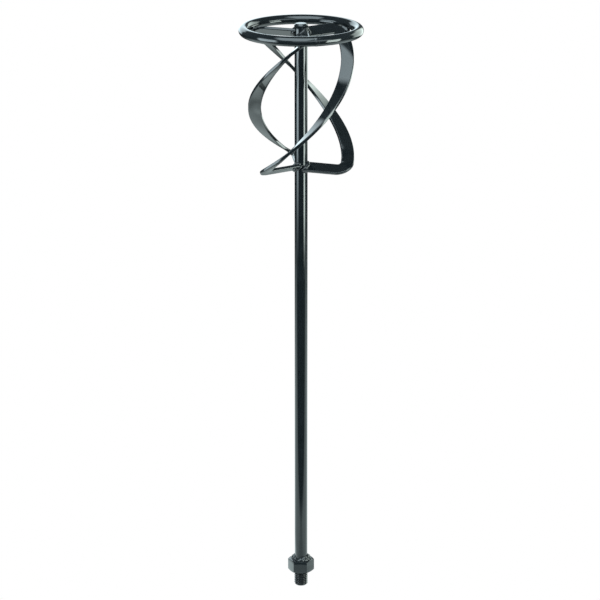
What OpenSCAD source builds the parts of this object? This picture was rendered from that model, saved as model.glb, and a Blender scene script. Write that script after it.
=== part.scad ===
// Mortar mixing paddle: a plain round shaft with a threaded spindle end, and a mixing head
// of three right-hand helical flights welded between the shaft and a ring.
// Origin: centre of the thread where it leaves the collar. +Z runs up the shaft to the ring.

/* [Shaft] */
// Diameter of the round shaft
shaft_d = 13.2; // [11:0.1:13.6]
// Length over everything, from the end of the thread to the tip
overall_length = 603; // [500:1:700]
// Diameter of the shaft's slightly thicker tip
tip_d = 14; // [13.8:0.1:14.4]
// Length of the thicker tip, with its arms
tip_length = 22; // [20:1:30]
// Width of the chamfer on the tip
tip_chamfer = 1.6; // [0.5:0.1:2.5]

/* [Spindle end] */
// Nominal diameter of the thread
thread_d = 14; // [12:2:16]
// Length of the thread below the collar
thread_length = 16.5; // [12:0.5:30]
// Length of the chamfer on the end of the thread
thread_chamfer = 1.5; // [0.5:0.5:2.5]
// Width of the hexagonal collar across its flats
collar_af = 24; // [22:1:30]
// Height of the collar
collar_height = 13; // [9:0.5:20]
// Height of the chamfer on the collar's corners
collar_chamfer = 0.9; // [0.5:0.1:1.5]
// Turn of the collar's corners about the shaft
collar_turn = -4; // [-30:1:30]

/* [Ring] */
// Outer diameter of the ring
ring_d = 125; // [122:1:140]
// Diameter of the bar that the ring is bent from
ring_bar_d = 10; // [8:1:12]
// Distance from the tip down to the middle of the ring's bar
ring_drop = 7; // [6:1:20]
// Direction of the ring's closing weld
closing_weld_angle = -75.5; // [-80:0.5:-70]

/* [Flights] */
// Direction of each flight's lower arm
start_angles = [95.5, 215, 339.5];
// Turn of a flight from its lower arm to its upper arm
flight_turn = 180.5; // [170:0.5:185]
// Climb of a flight from its lower arm to its upper arm
flight_rise = 137; // [130:0.5:150]
// Distance from the ring's middle down to the upper arms
upper_arm_drop = 2.8; // [0:0.1:3.5]
// Radius to the middle of the flat bar at the lower arms
lower_radius = 47.3; // [46:0.1:50]
// Radius to the middle of the flat bar at the upper arms
upper_radius = 46.2; // [44:0.1:46.5]
// Width of the flat bar
bar_width = 13; // [10:0.5:14]
// Thickness of the flat bar
bar_thickness = 3.2; // [2.5:0.1:4]
// Radius of the edgewise bends, at the middle of the bar
bend_radius = 10; // [8:0.5:14]
// Steepness of the climb in the middle of a flight, against its average
climb_ease = 1.14; // [1:0.02:1.2]
// Drop of the middle of a flight below an even climb
climb_sag = 3.3; // [0:0.1:4]

/* [Welds] */
// Leg of the weld between the shaft and the collar
collar_weld_leg = 4.5; // [3:0.5:5]
// Radius of the beads that join the arms to the shaft
arm_bead_r = 3; // [2.75:0.25:4]
// Radius of the beads that join the flights to the ring
ring_bead_r = 3; // [2.5:0.25:3.5]

/* [Hidden] */
$fn = 96;
steel_black = "#22282b";
weld_black = "#2b3133";

shaft_r = shaft_d / 2;
tip_r = tip_d / 2;
joint_z = collar_height / 2;            // where shaft and stud meet inside the collar
tip_z = overall_length - thread_length;
ring_z = tip_z - ring_drop;
collar_corner_r = collar_af / 2 / cos(30);
collar_face_r = collar_af / 2 - 0.4;    // where the chamfers leave the collar's flat faces
seat_relief_r = thread_d / 2 + 0.5;     // recess round the thread in the collar's seat face
seat_relief_depth = 1;
ring_bar_r = ring_bar_d / 2;
ring_r = ring_d / 2 - ring_bar_r;

upper_arm_z = ring_z - upper_arm_drop;
flight_mid_z = upper_arm_z - flight_rise / 2;
half_turn = flight_turn / 2;
edge_chamfer = 0.5;                     // broken edge of the flat bar
bend_steps = 10;
flight_steps = 40;
root_r = shaft_r - 3;                   // arms start inside the shaft and are coped to it
arm_bead_rise = 0.25;                   // from the shaft's surface to the middle of a bead
arm_bead_reach = bar_width / 2 - arm_bead_r + 0.4;
closing_weld_span = 4;                  // degrees of the ring under the closing weld
closing_weld_h = 0.5;

// ---- path of a flat bar -------------------------------------------------------------------
// side is -1 at the lower end and +1 at the upper end; turn runs from -half_turn to +half_turn.

function unit(v) = v / norm(v);
function middle_radius(turn) =
    (lower_radius + upper_radius) / 2 + (upper_radius - lower_radius) / 2 * turn / half_turn;
function climb(turn) =
    let (s = turn / half_turn)
    flight_rise / 2 * (climb_ease * s + (1 - climb_ease) * s ^ 3) - climb_sag * (1 - s ^ 2);
// Climb for each radian of turn
function climb_rate(turn) =
    let (s = turn / half_turn)
    (flight_rise / 2 * (climb_ease + 3 * (1 - climb_ease) * s ^ 2) + 2 * climb_sag * s)
        / (half_turn * PI / 180);
function tilt(turn) = atan(climb_rate(turn) / middle_radius(turn));

// Radius and turn along one edgewise bend, from the arm to the flight
function bend_angle(i) = 90 * i / bend_steps;
function bend_r(side, i) =
    middle_radius(side * half_turn) - bend_radius * (1 - sin(bend_angle(i)));
function bend_turn(side, i) =
    i == 0 ? half_turn
    : bend_turn(side, i - 1) - bend_radius * (cos(bend_angle(i - 1)) - cos(bend_angle(i)))
        * cos(tilt(side * half_turn)) / (bend_r(side, i) + bend_r(side, i - 1)) * 360 / PI;
function bend(side) =
    [for (i = [0 : bend_steps]) [bend_r(side, i), side * bend_turn(side, i)]];

function reversed(list) = [for (i = [len(list) - 1 : -1 : 0]) list[i]];
function flight_path() =
    let (
        low = bend(-1),
        high = bend(1),
        from = low[bend_steps][1],
        to = high[bend_steps][1]
    )
    concat(
        [[root_r, -half_turn]],
        low,
        [for (i = [1 : flight_steps - 1])
            let (turn = from + (to - from) * i / flight_steps) [middle_radius(turn), turn]],
        reversed(high),
        [[root_r, half_turn]]
    );

function path_point(p) = [p[0] * cos(p[1]), p[0] * sin(p[1]), climb(p[1])];
function face_normal(turn) =
    let (a = tilt(turn)) [sin(a) * sin(turn), -sin(a) * cos(turn), cos(a)];

// The bar at one step of its path, as [middle, direction across, direction through]
function bar_frame(path, i) =
    let (
        before = path_point(path[max(i - 1, 0)]),
        after = path_point(path[min(i + 1, len(path) - 1)]),
        along = unit(after - before),
        across = unit(cross(face_normal(path[i][1]), along))
    )
    [path_point(path[i]), across, cross(along, across)];

// Corners of the bar's section, as [across, through]
function bar_section() =
    let (w = bar_width / 2, t = bar_thickness / 2, c = edge_chamfer)
    [
        [w, c - t], [w, t - c], [w - c, t], [c - w, t],
        [-w, t - c], [-w, c - t], [c - w, -t], [w - c, -t]
    ];

// Sweeps the bar's section along the path; the faces join each ring of corners to the next
module flat_bar() {
    path = flight_path();
    section = bar_section();
    count = len(path);
    sides = len(section);
    polyhedron(
        points = [
            for (i = [0 : count - 1])
                let (f = bar_frame(path, i))
                for (corner = section) f[0] + corner[0] * f[1] + corner[1] * f[2]
        ],
        faces = [
            [for (k = [0 : sides - 1]) k],
            for (i = [0 : count - 2], k = [0 : sides - 1])
                let (a = i * sides + k, b = i * sides + (k + 1) % sides)
                each [[a, b + sides, b], [a, a + sides, b + sides]],
            [for (k = [sides - 1 : -1 : 0]) (count - 1) * sides + k]
        ]
    );
}

// Puts a child, drawn about the middle of a flight, where flight number i stands
module at_flight(i)
    translate([0, 0, flight_mid_z]) rotate(start_angles[i - 1] + half_turn) children();

module flight(i)
    color(steel_black) difference() {
        at_flight(i) flat_bar();
        shaft_bar();
    }

// ---- shaft and spindle end ----------------------------------------------------------------

// The round bar, with its thicker tip; it swells to the tip over a short cone
module shaft_bar()
    rotate_extrude() polygon([
        [0, joint_z],
        [shaft_r, joint_z],
        [shaft_r, tip_z - tip_length - (tip_r - shaft_r)],
        [tip_r, tip_z - tip_length],
        [tip_r, tip_z - tip_chamfer],
        [tip_r - tip_chamfer, tip_z],
        [0, tip_z]
    ]);

module shaft() color(steel_black) shaft_bar();

module threaded_stud()
    color(steel_black) {
        translate([0, 0, thread_chamfer - thread_length])
            cylinder(d = thread_d, h = thread_length - thread_chamfer);
        translate([0, 0, -thread_length])
            cylinder(r1 = thread_d / 2 - thread_chamfer, r2 = thread_d / 2, h = thread_chamfer);
        cylinder(r = shaft_r, h = joint_z);
    }

module hex_collar()
    color(steel_black) difference() {
        intersection() {
            rotate(collar_turn) cylinder(r = collar_corner_r, h = collar_height, $fn = 6);
            rotate_extrude() polygon([
                [0, 0],
                [collar_face_r, 0],
                [collar_corner_r, collar_chamfer],
                [collar_corner_r, collar_height - collar_chamfer],
                [collar_face_r, collar_height],
                [0, collar_height]
            ]);
        }
        translate([0, 0, -1]) cylinder(r = shaft_r, h = collar_height + 2);
        translate([0, 0, -1]) cylinder(r = seat_relief_r, h = 1 + seat_relief_depth);
    }

module collar_weld()
    color(weld_black) translate([0, 0, collar_height]) rotate_extrude()
        translate([shaft_r, 0]) intersection() {
            circle(r = collar_weld_leg);
            square(collar_weld_leg + 1);
        }

// ---- ring ---------------------------------------------------------------------------------

module ring()
    color(steel_black) translate([0, 0, ring_z]) rotate_extrude()
        translate([ring_r, 0]) circle(r = ring_bar_r);

module ring_closing_weld()
    color(weld_black) translate([0, 0, ring_z]) rotate(closing_weld_angle - closing_weld_span / 2)
        rotate_extrude(angle = closing_weld_span) translate([ring_r, 0]) difference() {
            circle(r = ring_bar_r + closing_weld_h);
            circle(r = ring_bar_r);
        }

// ---- welds on the flights -----------------------------------------------------------------

// A bead on one face of an arm, where the arm meets the shaft.
// side is -1 at the lower arm and 1 at the upper arm; face is 1 above the bar and -1 under it.
module arm_weld(i, side, face) {
    bead_x = (side > 0 ? tip_r : shaft_r) + arm_bead_rise;
    color(weld_black) difference() {
        at_flight(i) translate([0, 0, climb(side * half_turn)]) rotate(side * half_turn)
            rotate([tilt(side * half_turn), 0, 0]) intersection() {
                translate([bead_x, 0, face * bar_thickness / 2]) rotate([90, 0, 0]) {
                    cylinder(r = arm_bead_r, h = 2 * arm_bead_reach, center = true);
                    for (end = [-1, 1])
                        translate([0, 0, end * arm_bead_reach]) sphere(r = arm_bead_r);
                }
                translate([0, -bar_width, face > 0 ? bar_thickness / 2 : -bar_width])
                    cube([bar_width * 2, bar_width * 2, bar_width - bar_thickness / 2]);
            }
        shaft_bar();
    }
}

// Middle of the gap between a flight's outer edge and the ring, at one step of the upper bend
function ring_gap_middle(step) =
    let (
        f = bar_frame(flight_path(), 2 * bend_steps + flight_steps + 1 - step),
        edge = f[0] - bar_width / 2 * f[1],
        ring_middle = concat(ring_r * unit([edge[0], edge[1]]), [ring_z - flight_mid_z]),
        reach = ring_middle - edge
    )
    edge + unit(reach) * (norm(reach) - ring_bar_r) / 2;

// Two blobs of weld in that gap, each with its poles level so that the cuts miss them
module ring_weld(i)
    color(weld_black) difference() {
        at_flight(i) for (step = [bend_steps - 3 : 2 : bend_steps - 1])
            translate(ring_gap_middle(step)) rotate([0, 90, 0]) sphere(r = ring_bead_r);
        ring();
        at_flight(i) flat_bar();
    }

shaft();
threaded_stud();
hex_collar();
collar_weld();
ring();
ring_closing_weld();
flight(1);  // flight_1
flight(2);  // flight_2
flight(3);  // flight_3
arm_weld(1, -1, 1);  // lower_weld_top_1
arm_weld(2, -1, 1);  // lower_weld_top_2
arm_weld(3, -1, 1);  // lower_weld_top_3
arm_weld(1, -1, -1);  // lower_weld_under_1
arm_weld(2, -1, -1);  // lower_weld_under_2
arm_weld(3, -1, -1);  // lower_weld_under_3
arm_weld(1, 1, 1);  // upper_weld_top_1
arm_weld(2, 1, 1);  // upper_weld_top_2
arm_weld(3, 1, 1);  // upper_weld_top_3
arm_weld(1, 1, -1);  // upper_weld_under_1
arm_weld(2, 1, -1);  // upper_weld_under_2
arm_weld(3, 1, -1);  // upper_weld_under_3
ring_weld(1);  // ring_weld_1
ring_weld(2);  // ring_weld_2
ring_weld(3);  // ring_weld_3
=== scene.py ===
"""Mortar mixing paddle: the visual model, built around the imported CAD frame."""
import math

import bmesh
import bpy
from mathutils import Matrix, Vector, noise


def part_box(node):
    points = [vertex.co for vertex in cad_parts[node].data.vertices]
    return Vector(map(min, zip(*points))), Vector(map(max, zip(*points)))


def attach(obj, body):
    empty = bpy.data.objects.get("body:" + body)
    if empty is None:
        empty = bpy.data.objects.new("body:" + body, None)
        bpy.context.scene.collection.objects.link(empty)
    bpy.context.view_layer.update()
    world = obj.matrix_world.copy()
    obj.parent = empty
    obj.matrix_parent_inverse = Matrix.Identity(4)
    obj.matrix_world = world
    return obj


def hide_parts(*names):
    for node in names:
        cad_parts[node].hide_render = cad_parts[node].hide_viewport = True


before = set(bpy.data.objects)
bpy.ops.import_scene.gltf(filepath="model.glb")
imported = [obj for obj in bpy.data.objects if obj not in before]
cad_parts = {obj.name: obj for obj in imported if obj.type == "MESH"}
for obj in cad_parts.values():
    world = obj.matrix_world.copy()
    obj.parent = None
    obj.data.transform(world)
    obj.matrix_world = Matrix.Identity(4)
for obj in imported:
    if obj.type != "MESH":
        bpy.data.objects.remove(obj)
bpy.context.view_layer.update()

MM = 0.001

# ---- sizes that the frame gives ---------------------------------------------------------

SHAFT_LOW, SHAFT_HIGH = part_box("shaft")
TIP_R = SHAFT_HIGH.x
TIP_Z = SHAFT_HIGH.z
STUD_LOW, STUD_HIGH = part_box("threaded_stud")
THREAD_R = STUD_HIGH.x
THREAD_END_Z = STUD_LOW.z
COLLAR_LOW, COLLAR_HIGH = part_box("hex_collar")
COLLAR_TOP_Z = COLLAR_HIGH.z
RING_LOW, RING_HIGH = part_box("ring")
RING_Z = (RING_LOW.z + RING_HIGH.z) / 2
RING_BAR_R = (RING_HIGH.z - RING_LOW.z) / 2
RING_R = RING_HIGH.x - RING_BAR_R
COLLAR_WELD_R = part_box("collar_weld")[1].x

# ---- sizes that repeat the CAD source ---------------------------------------------------

SHAFT_R = 6.6 * MM
TIP_LENGTH = 22 * MM
TIP_CHAMFER = 1.6 * MM
THREAD_PITCH = 2 * MM
THREAD_DEPTH = 1.227 * MM
THREAD_CHAMFER = 1.5 * MM
COLLAR_AF = 24 * MM
COLLAR_CHAMFER = 0.9 * MM
COLLAR_FACE_R = COLLAR_AF / 2 - 0.4 * MM
COLLAR_TURN = -4
SEAT_RELIEF_R = THREAD_R + 0.5 * MM
SEAT_RELIEF_DEPTH = 1 * MM
COLLAR_WELD_GAP = 228
CLOSING_WELD_ANGLE = -75.5

START_ANGLES = (95.5, 215, 339.5)
HALF_TURN = 180.5 / 2
FLIGHT_RISE = 137 * MM
UPPER_ARM_DROP = 2.8 * MM
LOWER_RADIUS = 47.3 * MM
UPPER_RADIUS = 46.2 * MM
BAR_WIDTH = 13 * MM
BAR_THICKNESS = 3.2 * MM
BEND_RADIUS = 10 * MM
CLIMB_EASE = 1.14
CLIMB_SAG = 3.3 * MM
ARM_BEAD_R = 3 * MM
ARM_BEAD_RISE = 0.25 * MM
FLAT_BEAD = (0, 1, 1)
RING_BEAD_R = 3 * MM

FLIGHT_MID_Z = RING_Z - UPPER_ARM_DROP - FLIGHT_RISE / 2
HEAD_MIDDLE = Vector((0, 0, FLIGHT_MID_Z))

# ---- how finely the meshes are cut, and small details -----------------------------------

ARM_STEPS = 8
BEND_STEPS = 30
FLIGHT_STEPS = 150
BAR_EDGE_R = 0.7 * MM
ARM_ROOT_R = SHAFT_R * 0.9
COPE_DEPTH = 0.1 * MM
SHAFT_EDGE_R = 0.25 * MM
COLLAR_EDGE_R = 0.18 * MM
SEAT_EDGE = 0.15 * MM
WELD_SINK = 0.3 * MM

# weld beads: the spacing and depth of the ripples, and the size and depth of the lumps
BEAD_SIDES = 28
BEAD_RIPPLE = 1.6 * MM
BEAD_RIPPLE_DEPTH = 0.035
COARSE_LUMP = 3 * MM
COARSE_LUMP_DEPTH = 0.14
FINE_LUMP = 1.2 * MM
FINE_LUMP_DEPTH = 0.05
COLLAR_RIPPLES = 22
CLOSING_WELD_HALF_SPAN = 2.6
CLOSING_WELD_CROWN = 0.24 * MM
CLOSING_WELD_ROUGH = 0.13 * MM
CLOSING_WELD_SINK = 0.12 * MM

# stretch of the upper bend that the ring bead follows, as shares of the bend
RING_BEAD_START = 0.56
RING_BEAD_END = 0.98

# ---- camera -----------------------------------------------------------------------------

CAMERA_BACK = 2.627
CAMERA_SIDE = -1.1 * MM
CAMERA_ABOVE_RING = 0.52
CAMERA_PITCH_DOWN = 16.96
CAMERA_LENS = 160.4
CAMERA_SENSOR = 36
CAMERA_REACH = 50

# ---- light ------------------------------------------------------------------------------

COOL = (0.78, 0.94, 1.0)
GREENISH = (0.86, 1.0, 0.95)
FLOOR_TINT = (0.80, 0.95, 0.95)
ROOM_TINT = (0.8, 0.95, 1.0)
ROOM_STRENGTH = 0.15
FLOOR_HALF_SIZE = 6.0
AIMED_ABOVE = 5
LEVEL_WITHIN = 0.5


# ---- mesh helpers -----------------------------------------------------------------------

def make_piece(name, mesh, material, slot, *nodes):
    """Puts a mesh in the scene as a piece that stands for CAD nodes and rides on their body."""
    piece = bpy.data.objects.new(name, mesh)
    bpy.context.scene.collection.objects.link(piece)
    mesh.materials.append(material)
    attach(piece, "root")
    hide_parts(*nodes)


def loft(name, rings, loop=False, sharp_angle=38):
    """A closed mesh through rings of points; loop joins the last ring to the first."""
    count = len(rings[0])
    verts = [p for ring in rings for p in ring]
    faces = []
    for i in range(len(rings) if loop else len(rings) - 1):
        a = i * count
        b = (i + 1) % len(rings) * count
        for k in range(count):
            n = (k + 1) % count
            faces.append((a + k, a + n, b + n, b + k))
    if not loop:
        faces.append(tuple(reversed(range(count))))
        faces.append(tuple(range(len(verts) - count, len(verts))))
    mesh = bpy.data.meshes.new(name)
    mesh.from_pydata(verts, [], faces)
    tidy = bmesh.new()
    tidy.from_mesh(mesh)
    bmesh.ops.recalc_face_normals(tidy, faces=tidy.faces)
    tidy.to_mesh(mesh)
    tidy.free()
    mesh.shade_smooth()
    mesh.set_sharp_from_angle(angle=math.radians(sharp_angle))
    return mesh


def circle(radius, z, count):
    """Points of a level circle about the shaft's axis."""
    steps = [2 * math.pi * k / count for k in range(count)]
    return [Vector((radius * math.cos(a), radius * math.sin(a), z)) for a in steps]


def polar(radius, degrees, z=0.0):
    a = math.radians(degrees)
    return Vector((radius * math.cos(a), radius * math.sin(a), z))


def rounded(corners, radius, steps=4):
    """An open outline of 2-D corners with every inner corner rounded off."""
    points = [Vector(corners[0])]
    for before, corner, after in zip(corners, corners[1:], corners[2:]):
        corner = Vector(corner)
        start = corner + (Vector(before) - corner).normalized() * radius
        end = corner + (Vector(after) - corner).normalized() * radius
        for k in range(steps + 1):
            t = k / steps
            points.append(start * (1 - t) ** 2 + corner * 2 * t * (1 - t) + end * t ** 2)
    points.append(Vector(corners[-1]))
    return points


def lumps(point, size, seed):
    """Smooth noise from about -1 to 1, with features of the given size."""
    return noise.noise(point / size + Vector((seed * 7.3, seed * 3.1, seed * 5.7)))


def weld_bead(name, path, out, up, reach, height, seed):
    """A closed weld bead along a path: an oval section with ripples, lumps and rounded ends."""
    rings = []
    length = sum((b - a).length for a, b in zip(path, path[1:]))
    travelled = 0.0
    for i, point in enumerate(path):
        if i > 0:
            travelled += (point - path[i - 1]).length
        s = 2 * travelled / length - 1
        taper = math.sqrt(max(0.0, 1 - abs(s) ** 3.0)) * 0.96 + 0.04
        ring = []
        for k in range(BEAD_SIDES):
            a = 2 * math.pi * k / BEAD_SIDES
            lag = 0.5 * reach * math.sin(a)
            crescent = math.cos(2 * math.pi * (travelled + lag) / BEAD_RIPPLE)
            swell = taper * (1 + BEAD_RIPPLE_DEPTH * crescent)
            corner = (
                point
                + out(i) * math.cos(a) * reach * swell
                + up(i) * math.sin(a) * height * swell
            )
            coarse = lumps(corner, COARSE_LUMP, seed) * COARSE_LUMP_DEPTH
            fine = lumps(corner, FINE_LUMP, seed) * FINE_LUMP_DEPTH
            ring.append(corner + (corner - point) * (coarse + fine))
        rings.append(ring)
    return loft(name, rings, sharp_angle=80)


# ---- path of a flat bar, as in the CAD source -------------------------------------------

def middle_radius(turn):
    share = turn / HALF_TURN
    return (LOWER_RADIUS + UPPER_RADIUS) / 2 + (UPPER_RADIUS - LOWER_RADIUS) / 2 * share


def climb(turn):
    s = turn / HALF_TURN
    even = FLIGHT_RISE / 2 * (CLIMB_EASE * s + (1 - CLIMB_EASE) * s ** 3)
    return even - CLIMB_SAG * (1 - s ** 2)


def tilt(turn):
    """Angle of the bar's face to the level, from the climb for each radian of turn."""
    s = turn / HALF_TURN
    rate = FLIGHT_RISE / 2 * (CLIMB_EASE + 3 * (1 - CLIMB_EASE) * s ** 2) + 2 * CLIMB_SAG * s
    return math.atan(rate / math.radians(HALF_TURN) / middle_radius(turn))


def bend(side):
    """(radius, turn) along an edgewise bend, from the arm to the flight."""
    end_r = middle_radius(side * HALF_TURN)
    slope = math.cos(tilt(side * HALF_TURN))
    points = []
    turn = HALF_TURN
    for i in range(BEND_STEPS + 1):
        angle = math.radians(90 * i / BEND_STEPS)
        r = end_r - BEND_RADIUS * (1 - math.sin(angle))
        if i > 0:
            before = math.radians(90 * (i - 1) / BEND_STEPS)
            run = BEND_RADIUS * (math.cos(before) - math.cos(angle)) * slope
            turn -= math.degrees(run / ((r + points[-1][0]) / 2))
        points.append((r, side * turn))
    return points


def flight_path():
    """(radius, turn) along a whole flight, from the lower root to the upper root."""
    low = bend(-1)
    high = bend(1)
    first = low[-1][1]
    last = high[-1][1]
    turns = [first + (last - first) * i / FLIGHT_STEPS for i in range(1, FLIGHT_STEPS)]

    def arm_radii(end):
        return [ARM_ROOT_R + (end - ARM_ROOT_R) * i / ARM_STEPS for i in range(ARM_STEPS)]

    return (
        [(r, -HALF_TURN) for r in arm_radii(low[0][0])]
        + low
        + [(middle_radius(turn), turn) for turn in turns]
        + list(reversed(high))
        + [(r, HALF_TURN) for r in reversed(arm_radii(high[0][0]))]
    )


def bar_frames(path):
    """For each step of the path: its middle, the direction across the bar and through it."""
    points = [polar(r, turn, climb(turn)) for r, turn in path]
    frames = []
    for i, (r, turn) in enumerate(path):
        along = (points[min(i + 1, len(path) - 1)] - points[max(i - 1, 0)]).normalized()
        a = tilt(turn)
        face = polar(1, turn - 90) * math.sin(a) + Vector((0, 0, math.cos(a)))
        across = face.cross(along).normalized()
        frames.append((points[i], across, along.cross(across)))
    return frames


def bar_section():
    """Outline of the flat bar as (across, through), with rounded edges and level faces."""
    w = BAR_WIDTH / 2
    t = BAR_THICKNESS / 2
    edge = BAR_EDGE_R
    outline = []
    corners = ((w, t, 0), (-w, t, 90), (-w, -t, 180), (w, -t, 270))
    for x, y, start in corners:
        middle = Vector((x - math.copysign(edge, x), y - math.copysign(edge, y)))
        for k in range(7):
            a = math.radians(start + 15 * k)
            outline.append(middle + Vector((math.cos(a), math.sin(a))) * edge)
        if start in (0, 180):
            turn = -1 if start == 0 else 1
            for share in (0.95, 0.6, 0.2, -0.2, -0.6, -0.95):
                outline.append(Vector((-turn * share * (w - edge), y)))
    return outline


def cope_to_shaft(ring, direction, shaft_r):
    """Slides the points of a root along the arm until they sit just inside the shaft."""
    sideways = Vector((-direction.y, direction.x, 0))
    coped = []
    for p in ring:
        across = p.dot(sideways)
        depth = math.sqrt(max(shaft_r ** 2 - across ** 2, 0)) - COPE_DEPTH
        coped.append(direction * depth + sideways * across + Vector((0, 0, p.z)))
    return coped


def placed(i):
    """Where flight number i stands."""
    turn = Matrix.Rotation(math.radians(START_ANGLES[i] + HALF_TURN), 4, "Z")
    return Matrix.Translation((0, 0, FLIGHT_MID_Z)) @ turn


# ---- pieces -----------------------------------------------------------------------------

def make_shaft(material):
    """Drawn round bar with a lightly chamfered tip; its foot is hidden in the collar."""
    profile = rounded(
        [
            (SHAFT_R, SHAFT_LOW.z),
            (SHAFT_R, TIP_Z - TIP_LENGTH - (TIP_R - SHAFT_R)),
            (TIP_R, TIP_Z - TIP_LENGTH),
            (TIP_R, TIP_Z - TIP_CHAMFER),
            (TIP_R - TIP_CHAMFER, TIP_Z),
            (TIP_R * 0.3, TIP_Z),
        ],
        SHAFT_EDGE_R,
    )
    mesh = loft("shaft_bar", [circle(p.x, p.y, 160) for p in profile], sharp_angle=60)
    make_piece("shaft_bar", mesh, material, "black_lacquer", "shaft")


def thread_radius(angle, z):
    """Radius of the right-hand thread at an angle in radians and a height."""
    phase = (z / THREAD_PITCH - angle / (2 * math.pi)) % 1.0
    from_crest = abs(phase - 0.5) * THREAD_PITCH - THREAD_PITCH / 16
    flank = from_crest * math.sqrt(3)
    rounded_root = THREAD_DEPTH * math.tanh(max(flank, 0) / THREAD_DEPTH * 1.25) / math.tanh(1.7)
    return THREAD_R - min(rounded_root, THREAD_DEPTH)


def make_stud(material):
    """M14 stud: a true helical thread with a chamfered end."""
    count = 120
    top = SEAT_RELIEF_DEPTH * 0.9
    steps = 150
    rings = []
    for k in range(steps + 1):
        z = THREAD_END_Z + (top - THREAD_END_Z) * k / steps
        cone = THREAD_R - THREAD_CHAMFER + (z - THREAD_END_Z)
        ring = []
        for i in range(count):
            a = 2 * math.pi * i / count
            r = min(thread_radius(a, z), cone)
            ring.append(Vector((r * math.cos(a), r * math.sin(a), z)))
        rings.append(ring)
    rings.insert(0, circle(rings[0][0].length * 0.3, THREAD_END_Z, count))
    mesh = loft("threaded_stud_m14", rings, sharp_angle=50)
    make_piece("threaded_stud_m14", mesh, material, "thread_lacquer", "threaded_stud")


def hexagon_outline(offset):
    """Points round the collar, with its six corners slightly rounded."""
    half = COLLAR_AF / 2 - offset
    corner_r = half / math.cos(math.radians(30))
    outline = []
    for side in range(6):
        first = polar(corner_r, COLLAR_TURN + 60 * side)
        second = polar(corner_r, COLLAR_TURN + 60 * side + 60)
        for t in (0.012, 0.03, 0.06, 0.15, 0.3, 0.5, 0.7, 0.85, 0.94, 0.97, 0.988):
            outline.append(first.lerp(second, t))
    return outline


def make_collar(material):
    """Hexagonal collar with a bore, chamfered corners and a recess in its seat face."""
    corner_r = COLLAR_AF / 2 / math.cos(math.radians(30))
    rise = COLLAR_CHAMFER / (corner_r - COLLAR_FACE_R)
    sides = hexagon_outline(0)

    def round_ring(radius, z):
        return [Vector((p.x, p.y, 0)).normalized() * radius + Vector((0, 0, z)) for p in sides]

    def hexagon(offset, inset, top):
        ring = []
        for p, outer in zip(hexagon_outline(offset), sides):
            drop = (outer.length - COLLAR_FACE_R) * rise + inset
            ring.append(Vector((p.x, p.y, COLLAR_TOP_Z - drop if top else drop)))
        return ring

    soft = COLLAR_EDGE_R
    rings = [
        round_ring(SEAT_RELIEF_R, SEAT_RELIEF_DEPTH),
        round_ring(SEAT_RELIEF_R, SEAT_EDGE),
        round_ring(SEAT_RELIEF_R + SEAT_EDGE, 0),
        round_ring(COLLAR_FACE_R - soft, 0),
        round_ring(COLLAR_FACE_R, soft * 0.1),
        hexagon(soft, 0, False),
        hexagon(soft * 0.3, soft * 0.3, False),
        hexagon(0, soft, False),
        hexagon(0, soft, True),
        hexagon(soft * 0.3, soft * 0.3, True),
        hexagon(soft, 0, True),
        round_ring(COLLAR_FACE_R, COLLAR_TOP_Z - soft * 0.1),
        round_ring(COLLAR_FACE_R - soft, COLLAR_TOP_Z),
        round_ring(SHAFT_R, COLLAR_TOP_Z),
        round_ring(SHAFT_R, SEAT_RELIEF_DEPTH),
    ]
    mesh = loft("hex_collar_24", rings, loop=True, sharp_angle=30)
    make_piece("hex_collar_24", mesh, material, "black_lacquer", "hex_collar")


def make_collar_weld(material):
    """Fillet weld round the shaft on the collar's top, with ripples all the way round."""
    leg = COLLAR_WELD_R - SHAFT_R
    count = 240
    around = 18
    rings = []
    for i in range(count):
        a = 360 * i / count
        middle = polar(SHAFT_R, a, COLLAR_TOP_Z)
        ripple = math.cos(math.radians(a * COLLAR_RIPPLES))
        gap = 0.6 * math.exp(-((a - COLLAR_WELD_GAP) / 26) ** 2)
        wander = (1 - gap) * (0.95 + 0.07 * lumps(middle, 6 * MM, 4) + 0.03 * ripple)
        ring = [polar(SHAFT_R - WELD_SINK, a, COLLAR_TOP_Z - WELD_SINK)]
        for k in range(around + 1):
            b = math.radians(90 * k / around)
            bulge = leg * wander * (0.93 - 0.05 * math.sin(2 * b))
            p = polar(SHAFT_R + bulge * math.cos(b), a, COLLAR_TOP_Z + bulge * math.sin(b))
            p += (p - middle) * lumps(p, 2.2 * MM, 9) * 0.11
            ring.append(p)
        ring.append(polar(SHAFT_R - WELD_SINK, a, COLLAR_TOP_Z + leg * 0.9 * wander))
        rings.append(ring)
    mesh = loft("collar_weld_bead", rings, loop=True, sharp_angle=80)
    make_piece("collar_weld_bead", mesh, material, "weld_lacquer", "collar_weld")


def make_ring(material):
    """The bent round bar of the ring."""
    count = 360
    around = 64
    rings = []
    for i in range(count):
        a = 360 * i / count
        ring = []
        for k in range(around):
            b = 2 * math.pi * k / around
            r = RING_R + RING_BAR_R * math.cos(b)
            ring.append(polar(r, a, RING_Z + RING_BAR_R * math.sin(b)))
        rings.append(ring)
    mesh = loft("ring_bar", rings, loop=True)
    make_piece("ring_bar", mesh, material, "black_lacquer", "ring")


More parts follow.
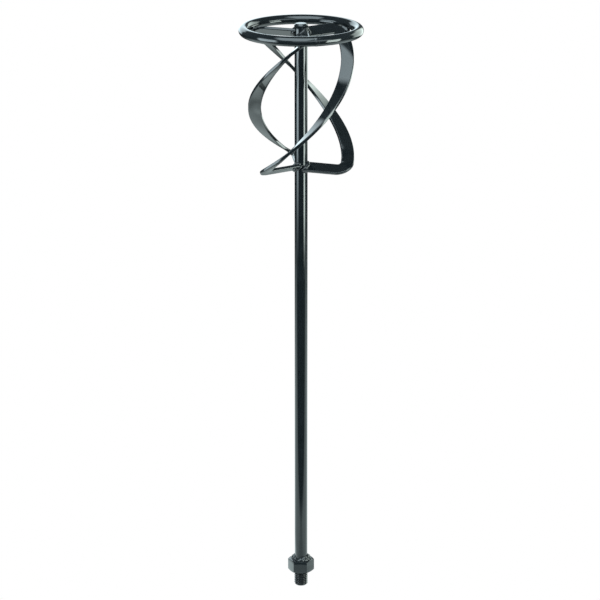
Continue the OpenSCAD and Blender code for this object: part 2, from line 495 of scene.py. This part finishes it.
def make_closing_weld(material):
    """Ground-down butt weld round the ring's bar, standing a little proud."""
    steps = 26
    around = 72
    rings = []
    for i in range(steps + 1):
        s = 2 * i / steps - 1
        a = CLOSING_WELD_ANGLE + CLOSING_WELD_HALF_SPAN * s
        crown = CLOSING_WELD_CROWN * (1 - abs(s) ** 2.2)
        ring = []
        for k in range(around):
            b = 2 * math.pi * k / around
            spot = polar(RING_R, a, RING_Z) + Vector((math.cos(b), math.sin(b), 0)) * RING_BAR_R
            rough = CLOSING_WELD_ROUGH * lumps(spot, 1.8 * MM, 2) * (1 - s ** 4)
            height = RING_BAR_R - CLOSING_WELD_SINK + crown + rough
            r = RING_R + height * math.cos(b)
            ring.append(polar(r, a, RING_Z + height * math.sin(b)))
        rings.append(ring)
    mesh = loft("ring_closing_bead", rings, sharp_angle=70)
    make_piece("ring_closing_bead", mesh, material, "weld_lacquer", "ring_closing_weld")


def make_flight(i, material):
    """One flat bar: lower arm, edgewise bend, helical flight, bend and upper arm."""
    section = bar_section()
    rings = []
    for middle, across, through in bar_frames(flight_path()):
        rings.append([middle + across * s.x + through * s.y for s in section])
    rings[0] = cope_to_shaft(rings[0], polar(1, -HALF_TURN), SHAFT_R)
    rings[-1] = cope_to_shaft(rings[-1], polar(1, HALF_TURN), TIP_R)
    name = f"flight_bar_{i + 1}"
    mesh = loft(name, rings, sharp_angle=50)
    mesh.transform(placed(i))
    make_piece(name, mesh, material, "black_lacquer", f"flight_{i + 1}")


def make_arm_weld(i, side, face, material):
    """The bead on one face of an arm, where the arm meets the shaft."""
    turn = side * HALF_TURN
    a = tilt(turn)
    arm = polar(1, turn)
    along = polar(1, turn + 90) * math.cos(a) + Vector((0, 0, math.sin(a)))
    normal = arm.cross(along) * face
    reach = BAR_WIDTH / 2 + 0.4 * MM
    shaft_r = TIP_R if side > 0 else SHAFT_R
    steps = 44
    path = []
    for k in range(steps + 1):
        s = (2 * k / steps - 1) * reach
        wrap = math.sqrt(max(shaft_r ** 2 - (s * math.cos(a)) ** 2, 0)) - shaft_r
        wander = 0.5 * MM * lumps(Vector((s, turn * MM, face * MM)), 4 * MM, i)
        point = arm * (shaft_r + ARM_BEAD_RISE + 0.6 * wrap + wander) + along * s
        path.append(point + normal * BAR_THICKNESS / 2 + Vector((0, 0, climb(turn))))
    end = "lower" if side < 0 else "upper"
    place = "top" if face > 0 else "under"
    seed = i * 4 + side + face * 2 + 5
    size = ARM_BEAD_R * (0.55 if (i, side, face) == FLAT_BEAD else 0.95)
    mesh = weld_bead(
        f"{end}_bead_{place}_{i + 1}",
        path,
        lambda k: arm,
        lambda k: normal,
        size,
        size * 0.85,
        seed,
    )
    mesh.transform(placed(i))
    node = f"{end}_weld_{place}_{i + 1}"
    make_piece(f"{end}_bead_{place}_{i + 1}", mesh, material, "weld_lacquer", node)


def make_ring_weld(i, material):
    """The bead between a flight's upper corner and the inside of the ring."""
    path_frames = bar_frames(flight_path())
    first = ARM_STEPS + 2 * (BEND_STEPS + 1) + FLIGHT_STEPS - 1
    path = []
    for step in range(int(BEND_STEPS * RING_BEAD_START), int(BEND_STEPS * RING_BEAD_END)):
        middle, across, _ = path_frames[first - 1 - step]
        edge = middle - across * BAR_WIDTH / 2
        level = Vector((edge.x, edge.y, 0)).normalized() * RING_R
        to_ring = level + Vector((0, 0, RING_Z - FLIGHT_MID_Z)) - edge
        path.append(edge + to_ring.normalized() * (to_ring.length - RING_BAR_R) / 2)

    def out(k):
        return Vector((path[k].x, path[k].y, 0)).normalized()

    mesh = weld_bead(
        f"ring_bead_{i + 1}",
        path,
        out,
        lambda k: Vector((0, 0, 1)),
        RING_BEAD_R,
        RING_BEAD_R,
        i + 20,
    )
    mesh.transform(placed(i))
    make_piece(f"ring_bead_{i + 1}", mesh, material, "weld_lacquer", f"ring_weld_{i + 1}")


# ---- materials --------------------------------------------------------------------------

def new_material(name):
    """A material with one Principled shader, and that shader."""
    material = bpy.data.materials.new(name)
    material.use_nodes = True
    nodes = material.node_tree.nodes
    nodes.clear()
    output = nodes.new("ShaderNodeOutputMaterial")
    shader = nodes.new("ShaderNodeBsdfPrincipled")
    material.node_tree.links.new(shader.outputs["BSDF"], output.inputs["Surface"])
    return material, shader


def noise_node(tree, coords, scale, detail):
    node = tree.nodes.new("ShaderNodeTexNoise")
    node.inputs["Scale"].default_value = scale
    node.inputs["Detail"].default_value = detail
    tree.links.new(coords, node.inputs["Vector"])
    return node.outputs["Fac"]


def ramp_node(tree, value, low, high):
    """Maps a 0 to 1 value to the range between two numbers."""
    node = tree.nodes.new("ShaderNodeMapRange")
    node.inputs["From Min"].default_value = 0.3
    node.inputs["From Max"].default_value = 0.7
    node.inputs["To Min"].default_value = low
    node.inputs["To Max"].default_value = high
    tree.links.new(value, node.inputs["Value"])
    return node.outputs["Result"]


def bump_node(tree, height, strength, distance, normal=None):
    node = tree.nodes.new("ShaderNodeBump")
    node.inputs["Strength"].default_value = strength
    node.inputs["Distance"].default_value = distance
    tree.links.new(height, node.inputs["Height"])
    if normal is not None:
        tree.links.new(normal, node.inputs["Normal"])
    return node.outputs["Normal"]


def lacquer(name, dark, light, gloss, peel, grain=(1, 1, 1)):
    """Gloss black lacquer over steel: uneven film, orange peel and the grain of the bar below.

    gloss is the roughness range, peel the depth of the orange peel, and grain stretches the
    fine drawing marks along the bar.
    """
    material, shader = new_material(name)
    tree = material.node_tree
    coords = tree.nodes.new("ShaderNodeTexCoord").outputs["Object"]
    stretch = tree.nodes.new("ShaderNodeMapping")
    stretch.inputs["Scale"].default_value = grain
    tree.links.new(coords, stretch.inputs["Vector"])

    film = noise_node(tree, coords, 90, 3)
    tint = tree.nodes.new("ShaderNodeMix")
    tint.data_type = "RGBA"
    tint.inputs["A"].default_value = (*dark, 1)
    tint.inputs["B"].default_value = (*light, 1)
    tree.links.new(ramp_node(tree, film, 0, 1), tint.inputs["Factor"])
    tree.links.new(tint.outputs["Result"], shader.inputs["Base Color"])

    haze = noise_node(tree, coords, 160, 4)
    tree.links.new(ramp_node(tree, haze, *gloss), shader.inputs["Roughness"])

    marks = bump_node(tree, noise_node(tree, stretch.outputs["Vector"], 500, 1), 0.3, peel * 0.2)
    orange_peel = bump_node(tree, noise_node(tree, coords, 200, 1), 0.5, peel, marks)
    tree.links.new(orange_peel, shader.inputs["Normal"])
    shader.inputs["IOR"].default_value = 1.5
    return material


# ---- studio -----------------------------------------------------------------------------

def fade(tree, value, start, end, low, high):
    """Maps a value smoothly from low, at start, to high, at end."""
    node = tree.nodes.new("ShaderNodeMapRange")
    node.interpolation_type = "SMOOTHSTEP"
    node.inputs["From Min"].default_value = start
    node.inputs["From Max"].default_value = end
    node.inputs["To Min"].default_value = low
    node.inputs["To Max"].default_value = high
    tree.links.new(value, node.inputs["Value"])
    return node.outputs["Result"]


def product(tree, *factors):
    total = factors[0]
    for factor in factors[1:]:
        node = tree.nodes.new("ShaderNodeMath")
        node.operation = "MULTIPLY"
        tree.links.new(total, node.inputs[0])
        tree.links.new(factor, node.inputs[1])
        total = node.outputs["Value"]
    return total


def empty_material(name, sampled=False):
    """A material with no shader yet; sampled makes its glow a light that is aimed at."""
    material = bpy.data.materials.new(name)
    material.use_nodes = True
    material.node_tree.nodes.clear()
    material.cycles.emission_sampling = "FRONT" if sampled else "NONE"
    output = material.node_tree.nodes.new("ShaderNodeOutputMaterial")
    return material, output.inputs["Surface"]


def emitter(name, colour, strength, sides, bottom, top):
    """Glow of a softbox; sides, bottom and top are the shares over which its edges fade."""
    material, surface = empty_material(name, sampled=strength > AIMED_ABOVE)
    tree = material.node_tree
    coords = tree.nodes.new("ShaderNodeTexCoord")
    axes = tree.nodes.new("ShaderNodeSeparateXYZ")
    tree.links.new(coords.outputs["Generated"], axes.inputs["Vector"])
    level = product(
        tree,
        fade(tree, axes.outputs["X"], 0, sides, 0, 1),
        fade(tree, axes.outputs["X"], 1 - sides, 1, 1, 0),
        fade(tree, axes.outputs["Y"], 0, bottom, 0, 1),
        fade(tree, axes.outputs["Y"], 1 - top, 1, strength, 0),
    )
    glow = tree.nodes.new("ShaderNodeEmission")
    glow.inputs["Color"].default_value = (*colour, 1)
    tree.links.new(level, glow.inputs["Strength"])
    tree.links.new(glow.outputs["Emission"], surface)
    return material


def panel(name, centre, width, height, colour, strength, sides, bottom, top):
    """A softbox facing the mixing head, seen only in reflections; low ones stand upright."""
    mesh = bpy.data.meshes.new(name)
    w = width / 2
    h = height / 2
    mesh.from_pydata([(-w, -h, 0), (w, -h, 0), (w, h, 0), (-w, h, 0)], [], [(0, 1, 2, 3)])
    mesh.materials.append(emitter(name, colour, strength, sides, bottom, top))
    board = bpy.data.objects.new(name, mesh)
    target = HEAD_MIDDLE.copy()
    if abs(centre.z - target.z) < LEVEL_WITHIN:
        target.z = centre.z
    facing = (target - centre).to_track_quat("Z", "Y").to_matrix().to_4x4()
    board.matrix_world = Matrix.Translation(centre) @ facing
    board.visible_camera = False
    bpy.context.scene.collection.objects.link(board)


def at_azimuth(degrees, distance, z):
    """A point round the shaft; 0 degrees is towards the camera and 90 is to its right."""
    a = math.radians(degrees)
    return Vector((distance * math.sin(a), -distance * math.cos(a), z))


def make_floor():
    """Pale floor: plain white to the eye, and in reflections bright about the paddle."""
    mesh = bpy.data.meshes.new("floor")
    size = FLOOR_HALF_SIZE
    z = THREAD_END_Z
    mesh.from_pydata(
        [(-size, -size, z), (size, -size, z), (size, size, z), (-size, size, z)],
        [],
        [(0, 1, 2, 3)],
    )
    material, surface = empty_material("pale_floor")
    tree = material.node_tree
    seen = tree.nodes.new("ShaderNodeEmission")
    mirrored = tree.nodes.new("ShaderNodeEmission")
    mix = tree.nodes.new("ShaderNodeMixShader")
    path = tree.nodes.new("ShaderNodeLightPath")
    place = tree.nodes.new("ShaderNodeNewGeometry")
    axes = tree.nodes.new("ShaderNodeSeparateXYZ")
    aside = tree.nodes.new("ShaderNodeMath")
    aside.operation = "ABSOLUTE"
    tree.links.new(place.outputs["Position"], axes.inputs["Vector"])
    tree.links.new(axes.outputs["X"], aside.inputs[0])

    def distance_from(point):
        node = tree.nodes.new("ShaderNodeVectorMath")
        node.operation = "DISTANCE"
        node.inputs[1].default_value = point
        tree.links.new(place.outputs["Position"], node.inputs[0])
        return node.outputs["Value"]

    # in turn: dark towards the camera, a slightly dimmer patch half a metre behind, bright
    # by the collar, dark far off, dimmer towards the back, and brighter to both sides
    strength = product(
        tree,
        fade(tree, axes.outputs["Y"], -0.26, -0.15, 0.03, 1.0),
        fade(tree, distance_from((0, 0.5, 0)), 0.15, 0.45, 0.8, 1.0),
        fade(tree, distance_from((-0.04, 0.04, 0)), 0.03, 0.10, 1.7, 1.0),
        fade(tree, distance_from((0, 0, 0)), 0.6, 1.5, 1.0, 0.08),
        fade(tree, axes.outputs["Y"], 0.3, 0.9, 1.0, 0.3),
        fade(tree, aside.outputs["Value"], 0.02, 0.10, 1.0, 1.7),
    )
    mirrored.inputs["Color"].default_value = (*FLOOR_TINT, 1)
    tree.links.new(strength, mirrored.inputs["Strength"])
    tree.links.new(path.outputs["Is Camera Ray"], mix.inputs["Fac"])
    tree.links.new(mirrored.outputs["Emission"], mix.inputs[1])
    tree.links.new(seen.outputs["Emission"], mix.inputs[2])
    tree.links.new(mix.outputs["Shader"], surface)
    mesh.materials.append(material)
    floor = bpy.data.objects.new("floor", mesh)
    bpy.context.scene.collection.objects.link(floor)


def make_world():
    """White to the eye, and a dim room in reflections."""
    world = bpy.data.worlds.new("studio")
    world.use_nodes = True
    tree = world.node_tree
    tree.nodes.clear()
    output = tree.nodes.new("ShaderNodeOutputWorld")
    room = tree.nodes.new("ShaderNodeBackground")
    room.inputs["Color"].default_value = (*ROOM_TINT, 1)
    room.inputs["Strength"].default_value = ROOM_STRENGTH
    white = tree.nodes.new("ShaderNodeBackground")
    white.inputs["Color"].default_value = (1, 1, 1, 1)
    path = tree.nodes.new("ShaderNodeLightPath")
    mix = tree.nodes.new("ShaderNodeMixShader")
    tree.links.new(path.outputs["Is Camera Ray"], mix.inputs["Fac"])
    tree.links.new(room.outputs["Background"], mix.inputs[1])
    tree.links.new(white.outputs["Background"], mix.inputs[2])
    tree.links.new(mix.outputs["Shader"], output.inputs["Surface"])
    bpy.context.scene.world = world


def make_lights():
    """Strip boxes at the front left and right, a large box above the camera, and rear fill."""
    panel("strip_left", at_azimuth(-64, 1.0, 0.52), 0.86, 1.1, COOL, 8,
          sides=0.2, bottom=0.24, top=0.4)
    panel("strip_right", at_azimuth(61, 1.0, 0.40), 0.56, 0.84, GREENISH, 12,
          sides=0.12, bottom=0.12, top=0.15)
    panel("key_above", at_azimuth(-15, 0.80, 1.66), 1.7, 1.9, COOL, 5.2,
          sides=0.2, bottom=0.2, top=0.1)
    panel("front_fill", at_azimuth(20, 3.0, 1.5), 5.0, 1.9, COOL, 2.2,
          sides=0.1, bottom=0.1, top=0.1)
    panel("rear_right", at_azimuth(135, 1.4, 0.75), 1.6, 1.5, GREENISH, 3.4,
          sides=0.2, bottom=0.15, top=0.2)
    panel("rear_left", at_azimuth(-160, 1.5, 0.85), 1.6, 1.2, COOL, 2.6,
          sides=0.2, bottom=0.15, top=0.2)


def make_camera():
    """Long lens, a little above the ring and looking down on the paddle."""
    camera = bpy.data.cameras.new("camera")
    camera.sensor_width = CAMERA_SENSOR
    camera.lens = CAMERA_LENS
    camera.clip_end = CAMERA_REACH
    holder = bpy.data.objects.new("camera", camera)
    holder.location = (CAMERA_SIDE, -CAMERA_BACK, RING_Z + CAMERA_ABOVE_RING)
    holder.rotation_euler = (math.radians(90 - CAMERA_PITCH_DOWN), 0, 0)
    bpy.context.scene.collection.objects.link(holder)
    bpy.context.scene.camera = holder


# ---- build ------------------------------------------------------------------------------

make_camera()
make_world()
make_floor()
make_lights()
bpy.context.scene.view_settings.view_transform = "Standard"

bar_black = lacquer("bar_lacquer", (0.005, 0.007, 0.008), (0.007, 0.009, 0.0105),
                    (0.05, 0.10), 0.003 * MM, (1, 1, 0.02))
flat_black = lacquer("flat_lacquer", (0.005, 0.007, 0.008), (0.0075, 0.0095, 0.011),
                     (0.06, 0.12), 0.004 * MM)
weld_black = lacquer("weld_lacquer", (0.005, 0.0065, 0.0075), (0.009, 0.0105, 0.012),
                     (0.07, 0.14), 0.010 * MM)
thread_black = lacquer("thread_lacquer", (0.004, 0.005, 0.006), (0.006, 0.007, 0.008),
                       (0.06, 0.11), 0.002 * MM)

make_shaft(bar_black)
make_stud(thread_black)
make_collar(flat_black)
make_collar_weld(weld_black)
make_ring(bar_black)
make_closing_weld(weld_black)
for number in range(3):
    make_flight(number, flat_black)
    for end_side in (-1, 1):
        for bar_face in (-1, 1):
            make_arm_weld(number, end_side, bar_face, weld_black)
    make_ring_weld(number, weld_black)
